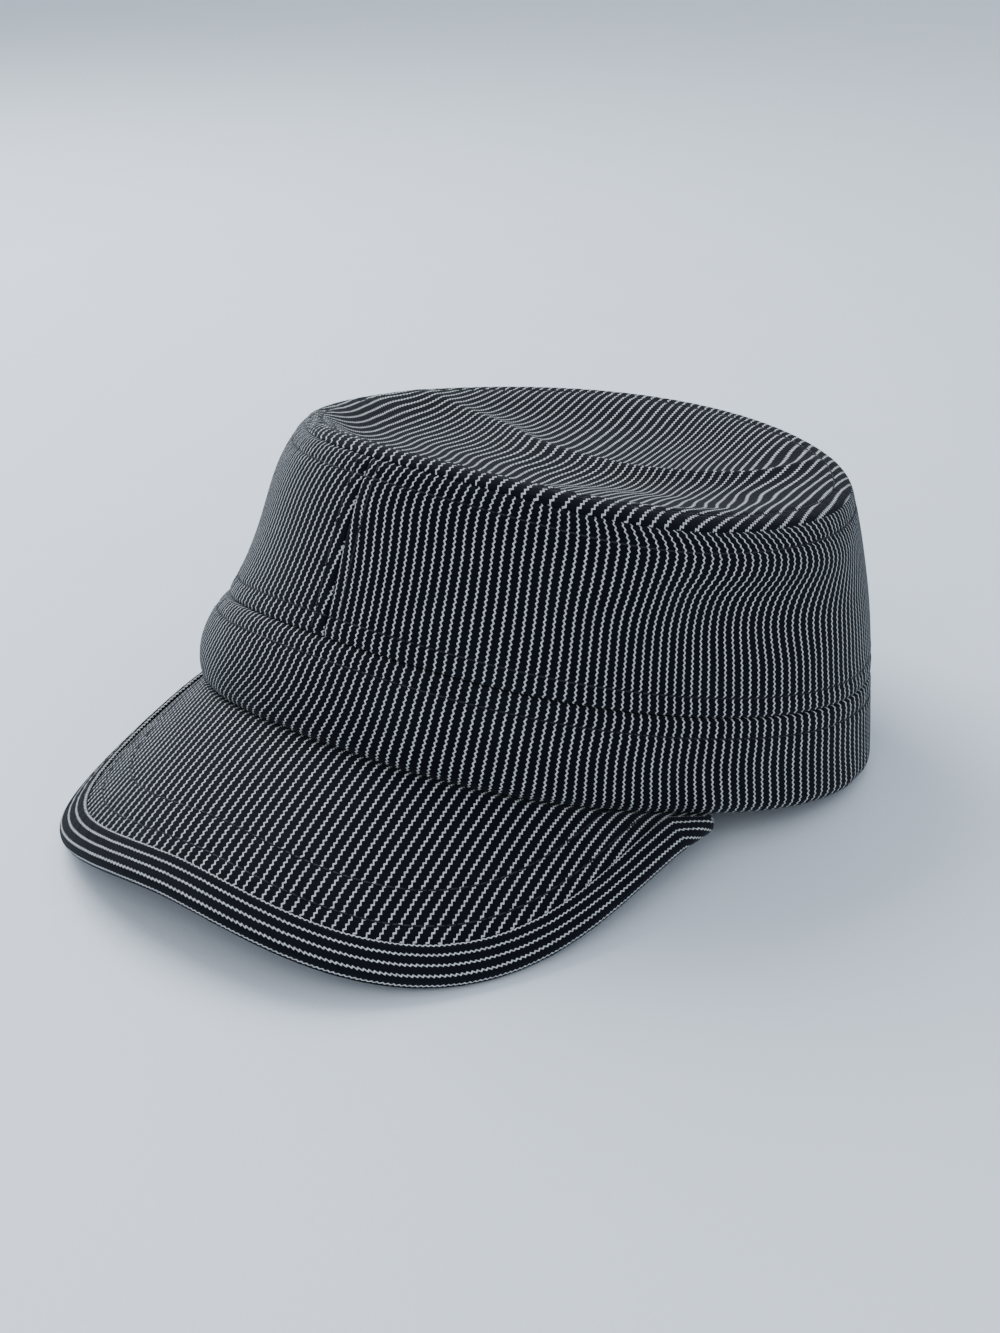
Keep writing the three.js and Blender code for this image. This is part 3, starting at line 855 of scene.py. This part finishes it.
def binding_face(s, v, lift):
    """v runs from the strip's top fold, round the edge, to its fold underneath. The
    middle share of v is half a turn about the edge; the rest runs straight back."""
    radius = HALF_BOARD + SEAM_GAP + lift
    start = (1 - ARC_SHARE) / 2
    side = np.where(v < 0.5, 1, -1)
    back = np.clip(1 - np.minimum(v, 1 - v) / start, 0, 1)
    t = 1 - binding_reach(s) * back
    _, up = edge_frame(s, t)
    flat = peak_top(s, t) + up * (side * radius - HALF_BOARD)[..., None]
    out_edge, up_edge = edge_frame(s, 1.0 + 0 * s)
    turn = (np.pi * (0.5 - (v - start) / ARC_SHARE))[..., None]
    middle = peak_rim(s) - up_edge * HALF_BOARD
    arc = middle + radius[..., None] * (up_edge * np.sin(turn) + out_edge * np.cos(turn))
    round_part = (v >= start) & (v <= 1 - start)
    return np.where(round_part[..., None], arc, flat)


# %% Peak binding, finished
first_share, last_share = (
    (turn - PEAK_FROM) / (PEAK_TO - PEAK_FROM) for turn in (BINDING_FROM, BINDING_TO)
)
s_line = np.linspace(first_share, last_share, BINDING_COLUMNS)
s, v = np.meshgrid(s_line, np.linspace(0, 1, BINDING_ROWS), indexing="ij")
binding_flat = binding_face(s, v, BINDING_CLOTH + 0 * v)
section_mm = arc_along(binding_flat, 1)
edge_mm = arc_along(binding_flat, 0)
from_fold = np.minimum(section_mm, section_mm[:, -1:] - section_mm)
fold_in = -FOLD_IN * bump(from_fold, 0, FOLD_IN_WIDTH)
pull = PULL * ripple(edge_mm, PULL_LENGTHS, 1.7) * bump(section_mm, PULL_AT, PULL_WIDTH)
binding_outer = binding_face(s, v, BINDING_CLOTH + fold_in + pull)
binding_inner = binding_face(s, v, 0 * v)
binding_cloth = striped(section_mm, edge_mm, BINDING_START, BINDING_PITCH)
binding_rub = 0.9 * bump(v, 0.5, 0.2)
binding = sewn_piece(
    "peak_edge_binding", lay(binding_outer), lay(binding_inner), binding_cloth, binding_rub
)
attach(binding, "root")
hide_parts("peak_binding")

# %% [markdown]
# ## Topstitching
#
# Dark thread holds the seam allowances flat, in rows beside each seam and round the
# peak. Every stitch is a short arched sausage of a few dozen faces, sunk at both ends.
# One stitch is worked out once, and whole arrays place hundreds of copies along a path
# that is read from the finished surface.

# %% One stitch
STITCH_STEP, STITCH_LENGTH, THREAD_RADIUS = 2.6, 2.4, 0.27
STITCH_ARCH, STITCH_SUNK = 0.1, 0.06
SIDES = 6  # of the thread's section
STATIONS = np.array([-0.96, -0.7, 0.0, 0.7, 0.96])
GIRTHS = np.array([0.45, 0.95, 1.0, 0.95, 0.45])
THREAD_END = 1.04  # its two end points, past the last rings


def stitch_shape():
    """One stitch along x from -1 to 1: a ring of points at each station, as wide as its
    girth, and a point at each end; and its faces as triangles."""
    turns = np.linspace(0, 2 * np.pi, SIDES, endpoint=False)
    x = np.repeat(STATIONS, SIDES)
    y = np.outer(GIRTHS, np.cos(turns)).ravel()
    z = np.outer(GIRTHS, np.sin(turns)).ravel()
    ends = [[-THREAD_END, 0, 0], [THREAD_END, 0, 0]]
    points = np.vstack([np.stack([x, y, z], axis=1), ends])
    ring, side = np.meshgrid(np.arange(len(STATIONS) - 1), np.arange(SIDES), indexing="ij")
    a, b = ring * SIDES + side, ring * SIDES + (side + 1) % SIDES
    quads = np.stack([a, b, b + SIDES, a + SIDES], axis=-1).reshape(-1, 4)
    here = np.arange(SIDES)
    after = (here + 1) % SIDES
    last_ring, first_tip = len(x) - SIDES, np.full(SIDES, len(x))
    first_cap = np.stack([here, first_tip, after], axis=1)
    last_cap = np.stack([last_ring + here, last_ring + after, first_tip + 1], axis=1)
    halves = [quads[:, [0, 1, 2]], quads[:, [0, 2, 3]]]
    return points, np.concatenate([*halves, first_cap, last_cap])


# %% Rows along a surface


def sample_grid(field, column, row):
    """Value of a grid between its points, by the two-way weighted mean of four."""
    column = np.clip(column, 0, field.shape[0] - 1.001)
    row = np.clip(row, 0, field.shape[1] - 1.001)
    i, j = column.astype(int), row.astype(int)
    a, b = (column - i)[:, None], (row - j)[:, None]
    return (
        field[i, j] * (1 - a) * (1 - b)
        + field[i + 1, j] * a * (1 - b)
        + field[i, j + 1] * (1 - a) * b
        + field[i + 1, j + 1] * a * b
    )


def read_along(at, reach, values):
    """Each column of values, joined by straight lines over reach, read at some places."""
    return np.stack([np.interp(at, reach, column) for column in values.T], axis=1)


def stitch_row(outer, distance, inset, columns, outward, wrap=False):
    """Stitches along the surface where a distance field equals the inset: for each
    column the row is found by interpolation, the path is measured, and stitches are
    spaced evenly along it. Gives their middles, directions and ups."""
    if wrap:
        outer, distance, outward = (
            np.concatenate([field, field[:1]]) for field in (outer, distance, outward)
        )
    order = 1 if distance[0, -1] > distance[0, 0] else -1
    row_numbers = np.arange(distance.shape[1])[::order]
    rows = np.array([np.interp(inset, distance[i][::order], row_numbers) for i in columns])
    path = sample_grid(outer, columns.astype(float), rows)
    normals = grid_normals(outer, False, outward)
    path_normals = sample_grid(normals, columns.astype(float), rows)
    steps = np.linalg.norm(np.diff(path, axis=0), axis=1)
    reach = np.concatenate([[0], np.cumsum(steps)])
    count = int(reach[-1] / STITCH_STEP)
    middles = (np.arange(count) + 0.5) * reach[-1] / count
    ahead = read_along(middles + 0.3, reach, path)
    behind = read_along(middles - 0.3, reach, path)
    up = read_along(middles, reach, path_normals)
    return read_along(middles, reach, path), ahead - behind, up


# %% Thread, from rows of stitches


def thread_piece(name, rows):
    """Places the stitch at every middle of every row, and joins all into one mesh.
    The stitch's line arches by 1 - x squared, and its ends are sunk in the cloth."""
    at, along, up = (np.concatenate(parts) for parts in zip(*rows))
    along /= np.linalg.norm(along, axis=1, keepdims=True)
    side = np.cross(up, along)
    side /= np.linalg.norm(side, axis=1, keepdims=True)
    up = np.cross(along, side)
    shape, tris = stitch_shape()
    arch = STITCH_ARCH * (1 - shape[:, 0] ** 2) - STITCH_SUNK
    local = shape * [STITCH_LENGTH / 2, THREAD_RADIUS, THREAD_RADIUS]
    local[:, 2] += arch
    axes = np.stack([along, side, up], axis=1)
    points = at[:, None] + np.einsum("pk,nkd->npd", local, axes)
    ids = tris[None] + len(shape) * np.arange(len(at))[:, None, None]
    corners = ids.reshape(-1)
    piece = put_in_mesh(name, points.reshape(-1, 3), corners, np.arange(0, len(corners), 3))
    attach(piece, "root")
    return piece


# %% Topstitching on every piece
band_columns = np.arange(BAND_COLUMNS)
below_seam = band_height - up_mm
band_rows = [stitch_row(band_outer, below_seam, STITCH_INSET, band_columns, outward, True)]
tip_columns = np.arange(TIP_COLUMNS)
tip_rows = [stitch_row(tip_outer, from_rim, STITCH_INSET, tip_columns, upward, True)]
peak_up = np.zeros_like(peak_upper)
peak_up[..., 2] = 1
peak_rows = [
    stitch_row(lay(peak_upper), from_edge, inset, np.arange(14, PEAK_COLUMNS - 14), peak_up)
    for inset in PEAK_STITCH_ROWS
]


def wall_stitch_rows(outer, up, from_front):
    """A row above the band, one below the rim and one beside the front seam. For the
    last the grid is turned, so that its columns run up the wall."""
    out_dirs = outer * [1, 1, 0]
    columns = np.arange(WALL_COLUMNS)
    turned, turned_out = outer.transpose(1, 0, 2), out_dirs.transpose(1, 0, 2)
    beside = np.arange(2, WALL_ROWS - 2)
    return [
        stitch_row(outer, up, STITCH_INSET, columns, out_dirs),
        stitch_row(outer, up[:, -1:] - up, STITCH_INSET, columns, out_dirs),
        stitch_row(turned, from_front.T, SIDE_SEAM_INSET, beside, turned_out),
    ]


wall_rows = wall_stitch_rows(left_outer, left_up, left_front)
wall_rows += wall_stitch_rows(right_outer, right_up, right_front)
band_thread = thread_piece("band_topstitching", band_rows)
wall_thread = thread_piece("wall_topstitching", wall_rows)
tip_thread = thread_piece("crown_topstitching", tip_rows)
peak_thread = thread_piece("peak_topstitching", peak_rows)

# %% [markdown]
# ## The striped cloth
#
# A near-black ground with thin off-white stripes, each a pair of threads that step from
# side to side. The UV map counts stripes across and millimetres along, so the zigzag is
# a triangle wave along one axis that shifts the other, and the stripe is what lies
# closer than its half width to a whole number. A finer twill shows in the ground, as
# bump and as a slight change of tone, and folded edges are a little worn.

# %% Node helpers


class Nodes:
    """Short names for adding and joining shader nodes."""

    def __init__(self, name):
        """Starts a material of that name with no nodes."""
        self.material = bpy.data.materials.new(name)
        self.material.use_nodes = True
        self.tree = self.material.node_tree
        self.tree.nodes.clear()

    def add(self, kind, **settings):
        """Adds a node; a setting is a property, or the value or link of an input."""
        node = self.tree.nodes.new(kind)
        inputs = settings.pop("inputs", {})
        for key, value in settings.items():
            setattr(node, key, value)
        for key, value in inputs.items():
            if isinstance(value, bpy.types.NodeSocket):
                self.tree.links.new(value, node.inputs[key])
            else:
                node.inputs[key].default_value = value
        return node

    def math(self, operation, a, b=0.0):
        """One Math node, and its output socket."""
        return self.add("ShaderNodeMath", operation=operation, inputs={0: a, 1: b}).outputs[0]

    def plus(self, a, b):
        """The sum of two values."""
        return self.math("ADD", a, b)

    def times(self, a, b):
        """The product of two values."""
        return self.math("MULTIPLY", a, b)

    def ramp(self, value, low, high, to_low=0.0, to_high=1.0):
        """A smooth step of the value between low and high."""
        ends = {"From Min": low, "From Max": high, "To Min": to_low, "To Max": to_high}
        ends["Value"] = value
        node = self.add("ShaderNodeMapRange", interpolation_type="SMOOTHSTEP", inputs=ends)
        return node.outputs["Result"]

    def blend(self, share, a, b):
        """Colour a share of the way from a to b."""
        node = self.add("ShaderNodeMix", data_type="RGBA", inputs={0: share, 6: a, 7: b})
        return node.outputs[2]

    def place(self):
        """Object coordinates."""
        return self.add("ShaderNodeTexCoord").outputs["Object"]

    def noise(self, vector, scale, detail=2.0, rough=0.5):
        """Noise of that scale, as a value about one half."""
        grain = {"Vector": vector, "Scale": scale, "Detail": detail, "Roughness": rough}
        return self.add("ShaderNodeTexNoise", inputs=grain).outputs["Fac"]

    def relief(self, height, strength, distance):
        """The surface's normal, bent by a height."""
        heights = {"Strength": strength, "Distance": distance, "Height": height}
        return self.add("ShaderNodeBump", inputs=heights).outputs[0]

    def finish(self, inputs):
        """Adds the shader with those inputs, joins it to the output, and gives the
        finished material."""
        shader = self.add("ShaderNodeBsdfPrincipled", inputs=inputs)
        output = self.add("ShaderNodeOutputMaterial")
        self.tree.links.new(shader.outputs[0], output.inputs["Surface"])
        return self.material


# %% Cloth colours and weave
GROUND = (0.0015, 0.002, 0.0048, 1)
GROUND_WORN = (0.009, 0.0105, 0.017, 1)
STRIPE = (0.62, 0.64, 0.64, 1)
STRIPE_SHADE = (0.3, 0.31, 0.32, 1)
ABOVE_ZERO = 1000.0  # keeps what a triangle wave folds above 0
WANDER, WANDER_SCALE = 0.10, 260
TWILL_ACROSS, TWILL_ALONG, FULL_TURN = 6.0, 2.2, 6.2832
FUZZ_SCALE, CLOUD_SCALE = 1900, 38

# %% Cloth material


def stripe_mask(n, across, along, place, half_width, zigzag, step_mm):
    """1 on a stripe and 0 between stripes: closeness to a whole number of the stripe
    count, shifted by a triangle wave along the cloth and by a little noise."""
    wander = n.math("SUBTRACT", n.noise(place, WANDER_SCALE, 2), 0.5)
    step = n.math("PINGPONG", n.plus(along, ABOVE_ZERO), step_mm / 2)
    shift = n.times(n.math("SUBTRACT", step, step_mm / 4), zigzag * 2 / step_mm)
    moved = n.plus(n.plus(across, shift), n.times(wander, WANDER))
    off = n.math("PINGPONG", n.plus(moved, ABOVE_ZERO), 0.5)
    return n.ramp(off, half_width * 0.72, half_width * 1.28, 1.0, 0.0)


def striped_cloth(name, half_width, zigzag, step_mm):
    """The woven cloth, with stripes of that half width and zigzag as shares of a pitch,
    which step from side to side once in step_mm. The twill is a sine of a slanted sum
    of the two cloth coordinates."""
    n = Nodes(name)
    uv = n.add("ShaderNodeUVMap", uv_map="cloth").outputs[0]
    across, along = n.add("ShaderNodeSeparateXYZ", inputs={0: uv}).outputs[:2]
    place = n.place()
    stripe = stripe_mask(n, across, along, place, half_width, zigzag, step_mm)
    slant = n.plus(n.times(across, TWILL_ACROSS), n.times(along, TWILL_ALONG))
    twill = n.math("SINE", n.times(slant, FULL_TURN))
    fuzz = n.noise(place, FUZZ_SCALE, 3, 0.6)
    rub = n.add("ShaderNodeAttribute", attribute_name="rub").outputs["Fac"]
    worn = n.times(rub, n.ramp(fuzz, 0.35, 0.7))
    cloudy = n.ramp(n.noise(place, CLOUD_SCALE, 3), 0.4, 0.8)
    faded = n.plus(n.times(worn, 0.45), n.times(cloudy, 0.22))
    faded = n.plus(faded, n.times(twill, 0.07))
    ground = n.blend(faded, GROUND, GROUND_WORN)
    light = n.blend(n.ramp(fuzz, 0.3, 0.65), STRIPE_SHADE, STRIPE)
    height = n.plus(n.times(stripe, 0.5), n.times(twill, 0.13))
    height = n.plus(height, n.times(fuzz, 0.5))
    return n.finish(
        {
            "Base Color": n.blend(stripe, ground, light),
            "Roughness": n.ramp(fuzz, 0.2, 0.8, 0.78, 0.95),
            "Normal": n.relief(height, 0.6, 0.00016),
            "Specular IOR Level": 0.09,
            "Sheen Weight": 0.03,
            "Sheen Roughness": 0.5,
        }
    )


cap_cloth = striped_cloth("striped_cap_cloth", 0.085, 0.2, 1.3)
binding_material = striped_cloth("striped_binding_cloth", 0.075, 0.18, 1.3)
for piece in (band, left_panel, right_panel, crown, peak_board):
    piece.data.materials.append(cap_cloth)
binding.data.materials.append(binding_material)

# %% [markdown]
# ## The thread
#
# Spun thread is darker than the cloth, with a slight shine on its twist. The twist is a
# fine wave over Object coordinates, used as bump and as a small change of tone.

# %% Thread material
THREAD_DARK, THREAD_LIGHT = (0.004, 0.0045, 0.007, 1), (0.014, 0.015, 0.02, 1)


def thread_material():
    """Near-black thread with a fine diagonal twist."""
    n = Nodes("dark_thread")
    twist = n.add(
        "ShaderNodeTexWave",
        wave_type="BANDS",
        bands_direction="DIAGONAL",
        inputs={"Vector": n.place(), "Scale": 900.0, "Distortion": 2.0},
    ).outputs["Fac"]
    return n.finish(
        {
            "Base Color": n.blend(twist, THREAD_DARK, THREAD_LIGHT),
            "Roughness": 0.62,
            "Normal": n.relief(twist, 0.5, 0.0001),
            "Specular IOR Level": 0.3,
        }
    )


dark_thread = thread_material()
for piece in (band_thread, wall_thread, tip_thread, peak_thread):
    piece.data.materials.append(dark_thread)

# %% [markdown]
# ## Surface, light and camera
#
# The cap lies on a wide, pale, slightly uneven painted surface. A broad soft light
# comes from the left and behind, as from a window, and a pale sky fills the shadows.
# The camera stands at the photograph's angle: its direction is given by a turn about Z
# and a height, and its distance by the lens.

# %% Surface
SURFACE_HALF = 3.0
PAINT, PAINT_PALER = (0.76, 0.82, 0.9, 1), (0.81, 0.86, 0.93, 1)


def pale_paint():
    """Paint that varies very little in tone and in height."""
    n = Nodes("pale_paint")
    place = n.place()
    return n.finish(
        {
            "Base Color": n.blend(n.noise(place, 14, 3), PAINT, PAINT_PALER),
            "Roughness": 0.5,
            "Normal": n.relief(n.noise(place, 420, 3, 0.6), 0.25, 0.0004),
            "Specular IOR Level": 0.35,
        }
    )


def pale_surface():
    """A large square about the origin: its corners are plus and minus its half width."""
    mesh = bpy.data.meshes.new("surface")
    square = np.array([(-1, -1, 0), (1, -1, 0), (1, 1, 0), (-1, 1, 0)])
    mesh.from_pydata((square * SURFACE_HALF).tolist(), [], [(0, 1, 2, 3)])
    mesh.materials.append(pale_paint())
    surface = bpy.data.objects.new("surface", mesh)
    bpy.context.scene.collection.objects.link(surface)
    return surface


surface = pale_surface()

# %% Lights


def area_light(name, place, aim, size, power, colour):
    """A square light at a place, turned to face its aim."""
    data = bpy.data.lights.new(name, "AREA")
    data.size, data.energy, data.color = size, power, colour
    lamp = bpy.data.objects.new(name, data)
    lamp.location = place
    lamp.rotation_euler = (Vector(aim) - Vector(place)).to_track_quat("-Z", "Y").to_euler()
    bpy.context.scene.collection.objects.link(lamp)
    return lamp


SKY_COLOUR, SKY_STRENGTH = (0.78, 0.88, 1.0, 1), 0.92
area_light("window_light", (-0.9, 0.2, 0.95), (0, 0, 0.05), 0.8, 20.0, (0.9, 0.95, 1.0))
area_light("fill_light", (0.7, -1.0, 0.9), (0, 0, 0.04), 1.2, 6.0, (1.0, 0.98, 0.95))
world = bpy.data.worlds.new("soft_sky")
world.use_nodes = True
sky = world.node_tree.nodes["Background"]
sky.inputs["Color"].default_value = SKY_COLOUR
sky.inputs["Strength"].default_value = SKY_STRENGTH
bpy.context.scene.world = world

# %% Camera
CAMERA_TURN, CAMERA_HEIGHT = np.radians(38.227), np.radians(25.187)
CAMERA_DISTANCE, CAMERA_AIM = 0.541, Vector((0.00426, 0.00345, 0.03054))
CAMERA_LENS, SENSOR_WIDTH = 51.99, 36
right = Vector((np.cos(CAMERA_TURN), np.sin(CAMERA_TURN), 0))
level_back = Vector((np.sin(CAMERA_TURN), -np.cos(CAMERA_TURN), 0))
back = level_back * np.cos(CAMERA_HEIGHT) + Vector((0, 0, np.sin(CAMERA_HEIGHT)))
upright = back.cross(right)
camera_data = bpy.data.cameras.new("camera")
camera_data.lens, camera_data.sensor_width = CAMERA_LENS, SENSOR_WIDTH
camera_data.sensor_fit = "AUTO"
camera = bpy.data.objects.new("camera", camera_data)
facing = Matrix((right, upright, back)).transposed().to_4x4()
camera.matrix_world = Matrix.Translation(CAMERA_AIM + back * CAMERA_DISTANCE) @ facing
bpy.context.scene.collection.objects.link(camera)
bpy.context.scene.camera = camera
